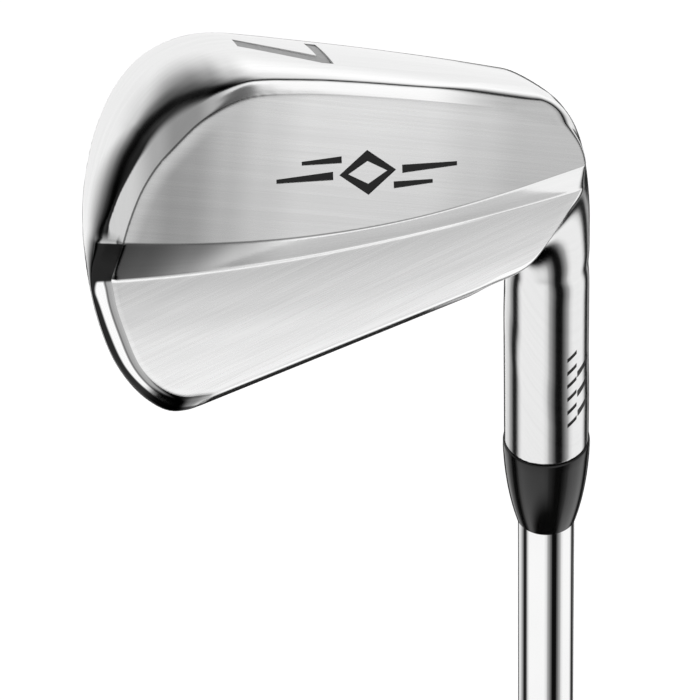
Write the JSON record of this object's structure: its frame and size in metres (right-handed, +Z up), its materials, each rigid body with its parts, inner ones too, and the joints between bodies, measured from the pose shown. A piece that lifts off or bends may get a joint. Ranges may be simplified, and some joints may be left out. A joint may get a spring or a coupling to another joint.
{
  "type": "iron golf club",
  "caption": "Right-handed forged muscle-back golf iron of middle loft, with a stepped chrome steel shaft, black ferrule and tapered rubber grip, standing butt down.",
  "frame": {"origin": "centre of the butt cap's flat end, on the shaft axis", "axes": "+Z up the shaft axis from the butt to the head, -X towards the toe, +Y towards the target, so the back of the head looks along -Y"},
  "size_m": [0.097, 0.0442, 0.9679],
  "materials": {
    "satin_chrome": "brushed satin nickel-chrome plating on forged steel, bright on its edges",
    "bright_chrome": "mirror chrome plating on steel tube",
    "black_plastic": "turned and polished black cellulose plastic",
    "black_paint": "semi-gloss black enamel sunk in engraved marks",
    "rubber": "matt moulded rubber with a fine tread",
    "epoxy": "set epoxy resin",
    "brass": "plain turned",
    "paper_tape": "double-sided paper tape",
    "label": "printed satin film with plain bands and no lettering"
  },
  "bodies": {
    "root": {"head": "satin_chrome", "ferrule": "black_plastic", "shaft": "bright_chrome", "hosel_bond": "epoxy", "tip_weight_plug": "brass", "shaft_band": "label", "grip_tape": "paper_tape", "grip_sleeve": "rubber", "grip_cap": "rubber", "back_mark_lozenge": "black_paint", "back_mark_bar_heel": "black_paint", "back_mark_bar_toe": "black_paint", "back_mark_short_bar_heel": "black_paint", "back_mark_short_bar_toe": "black_paint", "sole_number_paint": "black_paint", "hosel_mark_long_row_1": "black_paint", "hosel_mark_long_row_2": "black_paint", "hosel_mark_long_row_3": "black_paint", "hosel_mark_long_row_4": "black_paint", "hosel_mark_long_row_5": "black_paint", "hosel_mark_long_row_6": "black_paint", "hosel_mark_short_row_1": "black_paint", "hosel_mark_short_row_2": "black_paint", "hosel_mark_short_row_3": "black_paint"}
  },
  "joints": []
}
